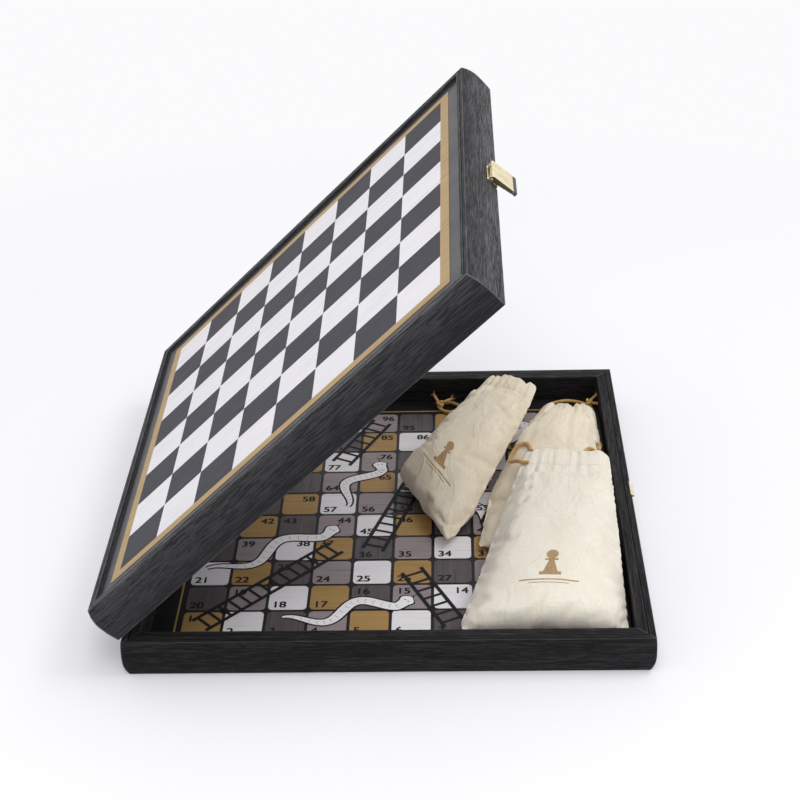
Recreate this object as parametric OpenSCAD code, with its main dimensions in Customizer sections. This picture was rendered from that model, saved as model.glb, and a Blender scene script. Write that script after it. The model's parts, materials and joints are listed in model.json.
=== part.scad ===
// Folding games compendium box: two equal square halves of mitred moulding, hinged like a book.
// The box stands on the tray. X points to the clasp side, Y away from the viewer, Z up.
// The origin is the centre of the tray's footprint, at the level of the table.
// Lid pieces are drawn where they are with the lid shut, and lid_pose() swings them open.

/* [Box] */
// Outer width of the square box
box_w = 270; // [270:2:290]
// Opening angle of the lid as shown, 0 is shut and 180 lies flat
lid_angle = 44; // [0:1:180]
// Thickness of the boards that close the two halves
board_t = 3; // [2.6:0.1:3]

/* [Game boards] */
// Side of one chess square
chess_square = 28.5; // [26:0.5:28.5]
// Width of the gold line round the chess field
chess_border = 6; // [3:0.5:6]
// Distance between the numbered squares of the inner board
cell_pitch = 22.1; // [18:0.1:22.1]
// Black gap between the numbered squares
cell_gap = 1.7; // [1:0.1:3]
// Distance between the squares of the cross and circle board
track_pitch = 15; // [12:0.5:16]

/* [Fittings] */
// Length of one hinge
hinge_l = 32; // [26:1:40]
// Distance of each hinge from the middle of the box
hinge_y = 82; // [50:1:95]
// Width of the clasp's flap
flap_w = 20; // [18:1:22]
// Angle by which the loose flap stands off the lid
flap_angle = 6; // [6:1:80]

/* [Pouches] */
// Diameter of the drawstrings
string_d = 2.2; // [1.8:0.1:2.2]

/* [Hidden] */

half_w = box_w / 2;
half_h = 22;
// The shut halves stay this far apart
seam_gap = 0.1;
rail_top = half_h - seam_gap / 2;

// Moulding, measured outward from the box's middle
rail_in = half_w - 9.5;
seam_in = half_w - 9;
seam_out = half_w - 0.5;
seam_line = half_w - 4;
foot_in = half_w - 6.5;
foot_out = half_w - 2.5;
foot_line = half_w - 4.5;
board_edge = half_w - 4.5;
lip_h = 2;
round_h = 11;
line_w = 0.5;
line_d = 0.8;
board_top = lip_h + board_t;
// A circle that leaves the upright face at round_h and meets the foot's outer edge
round_r = (round_h * round_h + pow(half_w - foot_out, 2)) / (2 * (half_w - foot_out));
// A circle for the slight swell up to the seam
swell_h = 9;
swell_steps = 4;
round_steps = 14;
swell_r = (swell_h * swell_h + pow(half_w - seam_out, 2)) / (2 * (half_w - seam_out));

print_t = 0.25;
black = [0.10, 0.10, 0.11];
charcoal = [0.28, 0.27, 0.31];
ivory = [0.93, 0.92, 0.93];
gold = [0.66, 0.50, 0.25];
taupe = [0.50, 0.47, 0.50];
brass = [0.80, 0.68, 0.40];
cotton = [0.90, 0.86, 0.77];
ochre = [0.68, 0.48, 0.20];

// Hinges
knuckle_r = 1.8;
hinge_x = -half_w - knuckle_r - 0.06;
pin_r = 0.75;
pin_head_r = 1.25;
pin_head_l = 0.8;
fit = 0.04;
knuckles = 5;
knuckle_l = hinge_l / knuckles;
knuckle_gap = 0.1;
leaf_t = 0.95;
leaf_w = 9.2;
leaf_gap = seam_gap / 2;
leaf_clear = knuckle_r + 0.26;
pocket_d = leaf_t + leaf_gap;
hinge_screw_x = 5.6;
hinge_screw_y = 9;

// Screws
head_r = 1.5;
head_h = 0.5;
shank_r = 0.8;
shank_l = 6;
// A shank ends this far above the bottom of its hole
shank_short = 0.3;
hole_r = shank_r + fit;

// Cutting shapes reach this far past the surface that they cut
past = 1;
// Joined shapes reach this far into each other
lap = 0.1;

// Clasp, in the lid's closed place
plate_x = half_w - 1;
plate_t = 1.2;
plate_y = 8.6;
plate_z = half_h + 0.5;
plate_h = 7.2;
// The pocket shows as a dark line of this width round the plate
pocket_line = 1.1;
flap_pin_x = half_w + 1.4;
flap_pin_z = half_h + 6.2;
flap_pin_r = 0.6;
pin_proud = 0.2;
lug_r = 1.1;
lug_y = 6.2;
lug_w = 2;
flap_out = half_w + 3.7;
flap_t = 1.1;
bevel = 0.5;
flap_top = half_h + 7.2;
flap_roll_steps = 6;
flap_end = half_h - 7;
skirt_in = half_w + 0.7;
skirt_t = 1;
// The cheeks keep their full depth down to here and get shallower towards the tongue
cheek_z = half_h + 4.8;
cheek_end_in = half_w + 1.7;
tongue_end = half_h - 9;
tongue_t = 0.7;
tongue_gap = 1;
nib_x = half_w + 0.4;
nib_y = 4.5;
nib_z = half_h - 6.4;
nib_h = 2.6;
catch_y = 7;
catch_z = half_h - 6.6;
catch_h = 6.2;
catch_t = 1;
catch_lip_x = half_w + 1.2;
catch_lip_z = half_h - 3.4;
catch_lip_h = 1.6;
catch_lip_y = 5;

// Pouches: a loose hull over round lumps, each [x, y, z, radius in plan, half height]
lump_fn = 24;
left_lumps = [[8, 24, 12, 9, 6], [27, -27, 12, 9, 6], [37, -10, 15, 9, 9], [34, 34, 19.5, 25, 13.8],
              [55, 72, 21, 18, 14], [62, 92, 25, 10, 10], [74, 88, 25, 8, 10],
              [62, 112, 26, 8, 9], [79, 103, 26, 7, 9]];
front_lumps = [[45, -112, 14, 8, 8], [115, -113, 13, 8, 7], [82, -86, 20, 35, 14],
               [79, -54, 24, 24, 12], [98, -48, 24.6, 26, 12.2], [84, 0, 30.6, 9, 6],
               [112, -2, 30.6, 9, 6], [81, 18, 32.8, 6, 4.6], [117.6, 14, 32.8, 6, 4.6]];
back_lumps = [[55, -34, 8.8, 7, 3], [112, -38, 8, 7, 2.2], [63, 6, 11.6, 9, 5.8],
              [114, 6, 11.6, 9, 5.8], [96, 52, 19.4, 25, 13.4], [98, 76, 20, 11, 12],
              [110, 74, 20, 11, 12], [97, 92, 17, 8, 9], [114, 89, 17, 8, 9]];

string_r = string_d / 2;
string_sides = 8;
knot_r = 2.9;
// A knot's height over its width
knot_flat = 0.72;
// Routes of the free string, out of the hem and back into it
left_route = [[53, 97, 26], [49, 99, 24], [45, 102, 19], [41, 105, 13], [36, 107, 9], [31, 109, 7],
              [27, 112.5, 6.5], [25.8, 116.8, 6.5], [28.4, 120.6, 6.5], [33, 121.2, 6.5],
              [37, 118.2, 6.6], [40.4, 113, 8.6], [44, 108.2, 13], [48, 104.2, 19],
              [51, 101.4, 24], [54, 99, 26]];
front_left_route = [[77, 8, 34], [75, 9, 33.8], [72.5, 10.5, 33.2], [71, 13, 32], [69.5, 15.5, 30.4],
                    [68, 18.5, 28], [67.2, 22, 26], [67, 25, 24.8], [67.4, 29, 24.5], [69, 33, 25],
                    [71, 36, 26.4], [73.5, 37, 27.8], [76, 36.5, 29], [78, 34, 29.6], [79, 30, 30],
                    [79, 26, 31.4], [79.5, 22, 33]];
front_right_route = [[113, 16, 32.4], [114.6, 18, 31.6], [116, 20, 30.4], [117.4, 22, 28.8],
                     [118.4, 24, 26.8], [119, 26, 25], [119.4, 28, 23.6], [119, 30.4, 23.6],
                     [118, 32, 24.4], [116.4, 33, 25.6], [114.6, 33, 26.8], [113, 32, 27.6],
                     [111.6, 30, 28], [110.6, 28, 28.4], [110, 26, 28.8], [109.4, 23.5, 29.8],
                     [109, 21, 31], [109, 17, 32.4]];
back_route = [[114, 88, 18], [117, 93, 16], [120, 98, 12], [121.5, 103, 8.6], [122, 108, 6.8],
              [121, 113, 6.5], [117, 118, 6.5], [111, 121, 6.5], [104, 121.5, 6.5], [98, 119, 6.5],
              [93, 115, 6.5], [90, 110, 6.5], [89, 105, 7], [91, 100, 9], [95, 95, 13], [99, 91, 16]];
left_knot = [26, 116, 8.6];
front_knot = [119.2, 30, 24.6];
back_knot = [120, 115.5, 8.6];

// Geometry helpers

// Points along a circle arc, from angle a to angle b
function arc(x, z, r, a, b, n) =
    [for (i = [0:n]) let (angle = a + (b - a) * i / n) [x + r * cos(angle), z + r * sin(angle)]];

// Section of the tray's moulding: first number outward, second number up
function rail_profile() = concat(
    [[rail_in, board_top], [rail_in, rail_top - line_d], [seam_in, rail_top],
     [seam_line - line_w, rail_top], [seam_line, rail_top - line_d], [seam_line + line_w, rail_top]],
    arc(half_w - swell_r, rail_top - swell_h, swell_r, asin(swell_h / swell_r), 0, swell_steps),
    arc(half_w - round_r, round_h, round_r, 0, -asin(round_h / round_r), round_steps),
    [[foot_line + line_w, 0], [foot_line, line_d], [foot_line - line_w, 0],
     [foot_in, 0], [foot_in, lip_h], [board_edge, lip_h], [board_edge, board_top]]);

// One mitred bar of the moulding, on the clasp side of the tray
module bar() {
    intersection() {
        rotate([90, 0, 0])
            linear_extrude(height = box_w + 2, center = true)
                polygon(rail_profile());
        linear_extrude(height = rail_top)
            polygon([[0, 0], [half_w + 1, -half_w - 1], [half_w + 1, half_w + 1]]);
    }
}

// The lid is the tray upside down: this turns tray pieces over onto the seam
module turned_over() {
    translate([0, 0, 2 * half_h])
        mirror([0, 0, 1])
            children();
}

// Swings closed lid pieces about the hinge line
module lid_pose() {
    translate([hinge_x, 0, half_h])
        rotate([0, -lid_angle, 0])
            translate([-hinge_x, 0, -half_h])
                children();
}

// Swings the closed flap about its pin
module flap_pose() {
    lid_pose()
        translate([flap_pin_x, 0, flap_pin_z])
            rotate([0, -flap_angle, 0])
                translate([-flap_pin_x, 0, -flap_pin_z])
                    children();
}

// A cylinder along Y, centred on y
module y_rod(x, y, z, r, l) {
    translate([x, y, z])
        rotate([90, 0, 0])
            cylinder(r = r, h = l, center = true, $fn = 48);
}

// A cube centred in Y, from a low X and Z
module y_block(x, z, w, l, h) {
    translate([x, -l / 2, z])
        cube([w, l, h]);
}

// Rails

// Pocket and pilot holes for both hinges in the hinge rail of the tray
module hinge_pockets() {
    for (side = [-1, 1])
        translate([hinge_x, side * hinge_y, half_h]) {
            translate([0, -hinge_l / 2 - fit, -pocket_d])
                cube([leaf_w + fit, hinge_l + 2 * fit, 2 * pocket_d]);
            for (end = [-1, 1])
                translate([hinge_screw_x, end * hinge_screw_y, -pocket_d - shank_l])
                    cylinder(r = hole_r, h = shank_l + pocket_d, $fn = 32);
        }
}

// Screw holes in a clasp side rail, pointing inward from its pocket
module rail_screw_holes(x, y, z) {
    for (side = [-1, 1])
        translate([x, side * y, z])
            rotate([0, -90, 0])
                cylinder(r = hole_r, h = shank_l, $fn = 32);
}

module hinge_bar() {
    difference() {
        mirror([1, 0, 0])
            bar();
        hinge_pockets();
    }
}

module tray_front_rail() {
    color(black)
        rotate([0, 0, -90])
            bar();
}

module tray_back_rail() {
    color(black)
        rotate([0, 0, 90])
            bar();
}

module tray_hinge_rail() {
    color(black)
        hinge_bar();
}

catch_screw_y = 5.2;
catch_screw_z = catch_z + 1.6;

module tray_clasp_rail() {
    color(black)
        difference() {
            bar();
            y_block(plate_x, catch_z, catch_t + past, 2 * catch_y, half_h);
            rail_screw_holes(plate_x, catch_screw_y, catch_screw_z);
        }
}

module lid_front_rail() {
    color(black)
        lid_pose()
            turned_over()
                rotate([0, 0, -90])
                    bar();
}

module lid_back_rail() {
    color(black)
        lid_pose()
            turned_over()
                rotate([0, 0, 90])
                    bar();
}

module lid_hinge_rail() {
    color(black)
        lid_pose()
            turned_over()
                hinge_bar();
}

plate_screw_y = 3.4;
plate_screw_z = plate_z + 2.2;

module lid_clasp_rail() {
    color(black)
        lid_pose()
            difference() {
                turned_over()
                    bar();
                y_block(plate_x, half_h - past, plate_t + past, 2 * (plate_y + pocket_line),
                        plate_z + plate_h + pocket_line - half_h + past);
                rail_screw_holes(plate_x, plate_screw_y, plate_screw_z);
            }
}

// Boards

// The thin board whose edges sit in the moulding's groove
module board() {
    translate([-board_edge, -board_edge, lip_h])
        cube([2 * board_edge, 2 * board_edge, board_t]);
}

module tray_board() {
    color(black)
        board();
}

module lid_board() {
    color(black)
        lid_pose()
            turned_over()
                board();
}

// A square ring of the printed layer
module square_line(outer, width, z) {
    translate([0, 0, z])
        linear_extrude(height = print_t)
            difference() {
                square(2 * outer, center = true);
                square(2 * (outer - width), center = true);
            }
}

// Numbered squares of the tray's inner board

cells = 10;
cell_w = cell_pitch - cell_gap;
cell_corner = 2.2;
line_gap = 3.2;
gold_line_w = 1;
line_corner = 3.5;
line_corner_steps = 6;
// The orders in which the colours follow along a row: 0 gold, 1 white, 2 dark, 3 grey
shade_orders = [[0, 1, 2, 3], [2, 3, 1, 0], [1, 0, 2, 3], [3, 2, 0, 1], [0, 1, 3, 2]];
// Which of these orders each row follows, from the front
row_order = [0, 1, 2, 1, 2, 3, 0, 3, 4, 3];

// One printed square with its corners taken off
module cell() {
    a = cell_w / 2;
    b = a - cell_corner;
    c = a - 0.3 * cell_corner;
    linear_extrude(height = print_t)
        polygon([[a, -b], [a, b], [c, c], [b, a], [-b, a], [-c, c],
                 [-a, b], [-a, -b], [-c, -c], [-b, -a], [b, -a], [c, -c]]);
}

module numbered_squares(shade) {
    for (row = [0:cells - 1], column = [0:cells - 1])
        if (shade_orders[row_order[row]][column % 4] == shade)
            translate([(column - (cells - 1) / 2) * cell_pitch,
                       (row - (cells - 1) / 2) * cell_pitch, board_top])
                cell();
}

module numbered_gold_squares() {
    color(gold)
        numbered_squares(0);
}

module numbered_white_squares() {
    color(ivory)
        numbered_squares(1);
}

module numbered_dark_squares() {
    color(charcoal)
        numbered_squares(2);
}

module numbered_grey_squares() {
    color(taupe)
        numbered_squares(3);
}

// Outline of a square with rounded corners
function round_square(half, r) =
    [for (q = [0:3])
        let (c = (half - r) * [[1, 1], [-1, 1], [-1, -1], [1, -1]][q])
            each arc(c[0], c[1], r, 90 * q, 90 * q + 90, line_corner_steps)];

module numbered_gold_line() {
    outer = cells * cell_pitch / 2 + line_gap;
    color(gold)
        translate([0, 0, board_top])
            linear_extrude(height = print_t)
                difference() {
                    polygon(round_square(outer, line_corner));
                    polygon(round_square(outer - gold_line_w, line_corner - gold_line_w));
                }
}

// Backgammon field under the tray, printed on the board's recessed underside

field_w = 2 * foot_in - 22;
field_line_gap = 4;
field_line_w = 1.4;
bar_w = 14;
point_pitch = (field_w - bar_w) / 12;
point_w = 0.88 * point_pitch;
point_l = 0.42 * field_w;
point_tip_w = 1.2;

// One long point, its base on the line y = 0
module point() {
    polygon([[-point_w / 2, 0], [point_w / 2, 0], [point_tip_w / 2, point_l], [-point_tip_w / 2, point_l]]);
}

module backgammon_points(odd) {
    for (half = [0, 1], index = [0:11])
        if ((index + half) % 2 == odd)
            translate([0, 0, lip_h - print_t])
                linear_extrude(height = print_t)
                    rotate(180 * half)
                        translate([(index - 5.5) * point_pitch + (index < 6 ? -1 : 1) * bar_w / 2,
                                   -field_w / 2])
                            point();
}

module backgammon_gold_points() {
    color(gold)
        backgammon_points(0);
}

module backgammon_white_points() {
    color(ivory)
        backgammon_points(1);
}

module backgammon_gold_line() {
    color(gold) {
        square_line(field_w / 2 + field_line_gap, field_line_w, lip_h - print_t);
        for (side = [-1, 1])
            translate([(side * bar_w - field_line_w) / 2, -field_w / 2, lip_h - print_t])
                cube([field_line_w, field_w, print_t]);
    }
}

// Chess field on the lid's outer face

chess_cells = 8;
chess_half = chess_cells * chess_square / 2;
chess_z = half_h * 2 - lip_h;

module chess_squares(odd) {
    lid_pose()
        for (i = [0:chess_cells - 1], j = [0:chess_cells - 1])
            if ((i + j) % 2 == odd)
                translate([i * chess_square - chess_half, j * chess_square - chess_half, chess_z])
                    cube([chess_square, chess_square, print_t]);
}

module chess_dark_squares() {
    color(charcoal)
        chess_squares(0);
}

module chess_white_squares() {
    color(ivory)
        chess_squares(1);
}

module chess_gold_border() {
    color(gold)
        lid_pose()
            square_line(chess_half + chess_border, chess_border, chess_z);
}

// Cross and circle board on the lid's inner face

cross_z = 2 * half_h - board_top - print_t;
yard_w = 6 * track_pitch - 1.6;
track_w = track_pitch - 1.4;
home_w = 1.5 * track_pitch - 0.7;
home_gap = 0.7;
nest_r = 0.62 * track_pitch;
nest_y = 1.1 * track_pitch;

// A coloured side of the board: its yard with four nests, its home row and its home triangle
module cross_side(turn) {
    lid_pose()
        translate([0, 0, cross_z])
            rotate([0, 0, 90 * turn])
                linear_extrude(height = print_t) {
                    difference() {
                        translate([4.5 * track_pitch, 4.5 * track_pitch])
                            square(yard_w, center = true);
                        for (a = [-1, 1], b = [-1, 1])
                            translate([4.5 * track_pitch + a * nest_y, 4.5 * track_pitch + b * nest_y])
                                circle(r = nest_r, $fn = 40);
                    }
                    for (step = [2:6])
                        translate([0, step * track_pitch])
                            square(track_w, center = true);
                    translate([track_pitch, 6 * track_pitch])
                        square(track_w, center = true);
                    polygon([[0, home_gap], [home_w, home_w + home_gap], [-home_w, home_w + home_gap]]);
                }
}

module cross_gold_yard() {
    color(gold)
        cross_side(0);
}

module cross_white_yard() {
    color(ivory)
        cross_side(1);
}

module cross_dark_yard() {
    color(charcoal)
        cross_side(2);
}

module cross_grey_yard() {
    color(taupe)
        cross_side(3);
}

module cross_track_squares() {
    color(ivory)
        lid_pose()
            for (turn = [0:3], step = [2:7], lane = [-1:1])
                if (!(lane == 0 && step < 7) && !(lane == 1 && step == 6))
                    rotate([0, 0, 90 * turn])
                        translate([lane * track_pitch, step * track_pitch, cross_z])
                            linear_extrude(height = print_t)
                                square(track_w, center = true);
}

// Hinges

// One leaf of a hinge about its own axis: the plate lies below the axis, towards the box
module leaf(own) {
    difference() {
        union() {
            translate([leaf_clear, -hinge_l / 2, -leaf_gap - leaf_t])
                cube([leaf_w - leaf_clear, hinge_l, leaf_t]);
            for (k = [0:knuckles - 1])
                if (k % 2 == own)
                    translate([0, (k - (knuckles - 1) / 2) * knuckle_l, 0]) {
                        y_rod(0, 0, 0, knuckle_r, knuckle_l - 2 * knuckle_gap);
                        translate([0, -knuckle_l / 2 + knuckle_gap, -leaf_gap - leaf_t])
                            cube([leaf_clear + lap, knuckle_l - 2 * knuckle_gap, leaf_t]);
                    }
        }
        y_rod(0, 0, 0, pin_r + fit, hinge_l + past);
        for (end = [-1, 1])
            translate([hinge_screw_x, end * hinge_screw_y, -leaf_gap - leaf_t]) {
                translate([0, 0, -past])
                    cylinder(r = hole_r, h = leaf_t + 2 * past, $fn = 32);
                translate([0, 0, leaf_t - head_h])
                    cylinder(r = head_r + fit, h = head_h + past, $fn = 32);
            }
    }
}

module hinge_screw() {
    cylinder(r = head_r, h = head_h, $fn = 32);
    translate([0, 0, head_h - leaf_t - shank_l + shank_short])
        cylinder(r = shank_r, h = leaf_t + shank_l - shank_short, $fn = 32);
}

module hinge_screws() {
    for (side = [-1, 1], end = [-1, 1])
        translate([hinge_x + hinge_screw_x, side * hinge_y + end * hinge_screw_y,
                   half_h - leaf_gap - head_h])
            hinge_screw();
}

module front_hinge_tray_leaf() {
    color(brass)
        translate([hinge_x, -hinge_y, half_h])
            leaf(0);
}

module back_hinge_tray_leaf() {
    color(brass)
        translate([hinge_x, hinge_y, half_h])
            leaf(0);
}

module front_hinge_lid_leaf() {
    color(brass)
        lid_pose()
            turned_over()
                translate([hinge_x, -hinge_y, half_h])
                    leaf(1);
}

module back_hinge_lid_leaf() {
    color(brass)
        lid_pose()
            turned_over()
                translate([hinge_x, hinge_y, half_h])
                    leaf(1);
}

module hinge_pins() {
    color(brass)
        for (side = [-1, 1]) {
            y_rod(hinge_x, side * hinge_y, half_h, pin_r, hinge_l + pin_head_l);
            for (end = [-1, 1])
                y_rod(hinge_x, side * hinge_y + end * (hinge_l + pin_head_l) / 2, half_h,
                      pin_head_r, pin_head_l);
        }
}

module tray_hinge_screws() {
    color(brass)
        hinge_screws();
}

module lid_hinge_screws() {
    color(brass)
        lid_pose()
            turned_over()
                hinge_screws();
}

// Clasp

// A pair of screws whose heads lie flush in a plate of thickness t on a clasp side rail
module plate_screws(t, y, z) {
    for (side = [-1, 1])
        translate([plate_x + t, side * y, z])
            rotate([0, -90, 0]) {
                cylinder(r = head_r, h = head_h, $fn = 32);
                cylinder(r = shank_r, h = t + shank_l - shank_short, $fn = 32);
            }
}

// Holes for those screws through the plate
module plate_holes(t, y, z) {
    for (side = [-1, 1])
        translate([plate_x + t, side * y, z])
            rotate([0, -90, 0]) {
                translate([0, 0, -past])
                    cylinder(r = head_r + fit, h = head_h + past, $fn = 32);
                cylinder(r = hole_r, h = t + past, $fn = 32);
            }
}

module tray_catch() {
    color(brass)
        difference() {
            union() {
                y_block(plate_x, catch_z, catch_t, 2 * catch_y, catch_h);
                y_block(plate_x, catch_lip_z, catch_lip_x - plate_x, 2 * catch_lip_y, catch_lip_h);
            }
            plate_holes(catch_t, catch_screw_y, catch_screw_z);
        }
}

module tray_catch_screws() {
    color(brass)
        plate_screws(catch_t, catch_screw_y, catch_screw_z);
}

module clasp_plate() {
    color(brass)
        lid_pose()
            difference() {
                union() {
                    y_block(plate_x, plate_z, plate_t, 2 * plate_y, plate_h);
                    for (side = [-1, 1]) {
                        y_rod(flap_pin_x, side * (lug_y + lug_w / 2), flap_pin_z, lug_r, lug_w);
                        translate([plate_x, side * (lug_y + lug_w / 2) - lug_w / 2, flap_pin_z - lug_r])
                            cube([flap_pin_x - plate_x, lug_w, 2 * lug_r]);
                    }
                }
                y_rod(flap_pin_x, 0, flap_pin_z, flap_pin_r + fit, flap_w);
                plate_holes(plate_t, plate_screw_y, plate_screw_z);
            }
}

module clasp_plate_screws() {
    color(brass)
        lid_pose()
            plate_screws(plate_t, plate_screw_y, plate_screw_z);
}

module clasp_pin() {
    color(brass)
        lid_pose()
            y_rod(flap_pin_x, 0, flap_pin_z, flap_pin_r, flap_w + 2 * pin_proud);
}

// The flap's face, with a bevel along its lower edge and a roll along its upper edge
module flap_face() {
    rotate([90, 0, 0])
        linear_extrude(height = flap_w, center = true)
            polygon(concat([[flap_out - flap_t, flap_end], [flap_out - bevel, flap_end],
                            [flap_out, flap_end + bevel]],
                           arc(flap_out - flap_t, flap_top - flap_t, flap_t, 0, 90, flap_roll_steps)));
}

// Side cheek of the flap, round the pin, seen from the front
module flap_cheek() {
    cheek_out = flap_out - flap_t + lap;
    rotate([90, 0, 0])
        linear_extrude(height = skirt_t, center = true)
            polygon([[skirt_in, flap_top], [skirt_in, cheek_z], [cheek_end_in, flap_end],
                     [cheek_out, flap_end], [cheek_out, flap_top]]);
}

module clasp_flap() {
    color(brass)
        flap_pose()
            difference() {
                union() {
                    flap_face();
                    for (side = [-1, 1])
                        translate([0, side * (flap_w - skirt_t) / 2, 0])
                            flap_cheek();
                }
                y_rod(flap_pin_x, 0, flap_pin_z, flap_pin_r + fit, flap_w + past);
            }
}

// Dark tongue inside the flap, with the nib that snaps under the tray's catch
module clasp_tongue() {
    color(black)
        flap_pose() {
            y_block(flap_out - flap_t - tongue_t, tongue_end, tongue_t, flap_w - 2 * (skirt_t + lap),
                    flap_pin_z - lug_r - tongue_gap - tongue_end);
            y_block(cheek_end_in, tongue_end, flap_out - cheek_end_in - 2 * lap, flap_w,
                    flap_end - tongue_end);
            y_block(nib_x, nib_z, flap_out - flap_t - tongue_t - nib_x, 2 * nib_y, nib_h);
        }
}

// Pouches

module pouch(lumps) {
    hull()
        for (l = lumps)
            translate([l[0], l[1], l[2]])
                scale([1, 1, l[4] / l[3]])
                    sphere(r = l[3], $fn = lump_fn);
}

function last(list) = len(list) - 1;
function at(list, i) = list[max(0, min(last(list), i))];
function unit(v) = v / norm(v);
function along(path, i) = unit(at(path, i + 1) - at(path, i - 1));
function sideways(t) = unit(cross(t, [0, 0, 1]));

// A round string swept along a route
module string(route) {
    n = len(route);
    points = [for (i = [0:n - 1], k = [0:string_sides - 1])
        let (t = along(route, i), u = sideways(t), v = cross(u, t), a = 360 * k / string_sides)
            route[i] + string_r * (u * cos(a) + v * sin(a))];
    walls = [for (i = [0:n - 2], k = [0:string_sides - 1])
        let (a = i * string_sides + k, b = i * string_sides + (k + 1) % string_sides)
            each [[a, a + string_sides, b], [b, a + string_sides, b + string_sides]]];
    start = [for (k = [0:string_sides - 1]) k];
    end = [for (k = [string_sides - 1:-1:0]) (n - 1) * string_sides + k];
    polyhedron(points, concat([start, end], walls), convexity = 6);
}

module knot(place) {
    translate(place)
        scale([1, 1, knot_flat])
            sphere(r = knot_r, $fn = 24);
}

module left_pouch() {
    color(cotton)
        pouch(left_lumps);
}

module left_pouch_string() {
    color(ochre)
        string(left_route);
}

module left_pouch_knot() {
    color(ochre)
        knot(left_knot);
}

module front_pouch() {
    color(cotton)
        pouch(front_lumps);
}

module front_pouch_left_string() {
    color(ochre)
        string(front_left_route);
}

module front_pouch_right_string() {
    color(ochre)
        string(front_right_route);
}

module front_pouch_knot() {
    color(ochre)
        knot(front_knot);
}

module back_pouch() {
    color(cotton)
        pouch(back_lumps);
}

module back_pouch_string() {
    color(ochre)
        string(back_route);
}

module back_pouch_knot() {
    color(ochre)
        knot(back_knot);
}

tray_front_rail();
tray_back_rail();
tray_hinge_rail();
tray_clasp_rail();
tray_board();
numbered_gold_squares();
numbered_white_squares();
numbered_dark_squares();
numbered_grey_squares();
numbered_gold_line();
backgammon_gold_points();
backgammon_white_points();
backgammon_gold_line();
tray_catch();
tray_catch_screws();
front_hinge_tray_leaf();
back_hinge_tray_leaf();
hinge_pins();
tray_hinge_screws();
lid_front_rail();
lid_back_rail();
lid_hinge_rail();
lid_clasp_rail();
lid_board();
chess_dark_squares();
chess_white_squares();
chess_gold_border();
cross_gold_yard();
cross_white_yard();
cross_dark_yard();
cross_grey_yard();
cross_track_squares();
front_hinge_lid_leaf();
back_hinge_lid_leaf();
lid_hinge_screws();
clasp_plate();
clasp_plate_screws();
clasp_pin();
clasp_flap();
clasp_tongue();
left_pouch();
left_pouch_string();
left_pouch_knot();
front_pouch();
front_pouch_left_string();
front_pouch_right_string();
front_pouch_knot();
back_pouch();
back_pouch_string();
back_pouch_knot();
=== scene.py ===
"""Dresses the games compendium box: wood, printed boards, brass, cotton pouches and their strings.

Lengths are in metres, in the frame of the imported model: X to the clasp side, Y away from the viewer, Z up.
"""

import json
import math

import bmesh
import bpy
import numpy as np
from mathutils import Matrix, Vector, noise


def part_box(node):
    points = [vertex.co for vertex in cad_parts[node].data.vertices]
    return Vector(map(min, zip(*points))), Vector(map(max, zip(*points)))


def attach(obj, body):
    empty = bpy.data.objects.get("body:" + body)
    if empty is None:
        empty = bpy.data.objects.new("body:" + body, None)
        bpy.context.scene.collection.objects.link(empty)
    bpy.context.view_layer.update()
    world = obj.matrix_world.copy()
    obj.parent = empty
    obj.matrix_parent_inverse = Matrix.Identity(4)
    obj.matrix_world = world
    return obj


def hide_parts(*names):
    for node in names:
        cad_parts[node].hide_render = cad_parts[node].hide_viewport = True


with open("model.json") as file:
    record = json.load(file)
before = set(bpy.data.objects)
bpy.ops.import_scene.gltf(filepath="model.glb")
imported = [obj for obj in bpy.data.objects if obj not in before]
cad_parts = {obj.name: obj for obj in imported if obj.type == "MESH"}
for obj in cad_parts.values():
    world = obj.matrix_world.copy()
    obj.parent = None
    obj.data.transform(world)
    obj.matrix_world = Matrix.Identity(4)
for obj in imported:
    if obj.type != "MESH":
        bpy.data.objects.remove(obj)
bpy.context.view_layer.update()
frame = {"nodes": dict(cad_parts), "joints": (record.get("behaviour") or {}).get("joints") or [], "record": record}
nodes = frame["nodes"]
scene = bpy.context.scene
MM = 0.001

# Turn and shift that take the open lid's coordinates back to those of the shut box
lid_hinge = next(j for j in frame["joints"] if j["name"] == "lid_hinge")
hinge_place = Vector(lid_hinge["pos_m"])
LID_ANGLE = math.radians(-lid_hinge["range_deg"][0])
LID_TURN = (0, LID_ANGLE, 0)
LID_SHIFT = tuple(hinge_place - Matrix.Rotation(LID_ANGLE, 3, "Y") @ hinge_place)
NO_MOVE = (0, 0, 0)

# Camera, at the photograph's place: it stands in front of the box and looks down at it
PHOTO_PX = 800
FOCAL_PX = 1640.8
SENSOR = 36
CAMERA_PLACE = (0.035791, -0.776496, 0.547165)
CAMERA_TURN = (59.065, 1.652, 1.268)


def make_camera():
    data = bpy.data.cameras.new("camera")
    data.sensor_width = SENSOR
    data.lens = SENSOR * FOCAL_PX / PHOTO_PX
    camera = bpy.data.objects.new("camera", data)
    camera.location = CAMERA_PLACE
    camera.rotation_euler = [math.radians(a) for a in CAMERA_TURN]
    scene.collection.objects.link(camera)
    scene.camera = camera


# Mesh helpers


def add_piece(mesh, material, body):
    """A new piece, named as its mesh, that rides on a body and takes its finish from a material slot."""
    piece = bpy.data.objects.new(mesh.name, mesh)
    scene.collection.objects.link(piece)
    piece.data.materials.append(material)
    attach(piece, body)
    return piece


def add_mesh(name, vertices, faces, material, body, smooth=True):
    mesh = bpy.data.meshes.new(name)
    mesh.from_pydata([tuple(v) for v in vertices], [], faces)
    mesh.polygons.foreach_set("use_smooth", [smooth] * len(mesh.polygons))
    mesh.update()
    return add_piece(mesh, material, body)


def unit(vector):
    return vector / max(np.linalg.norm(vector), 1e-12)


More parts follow.
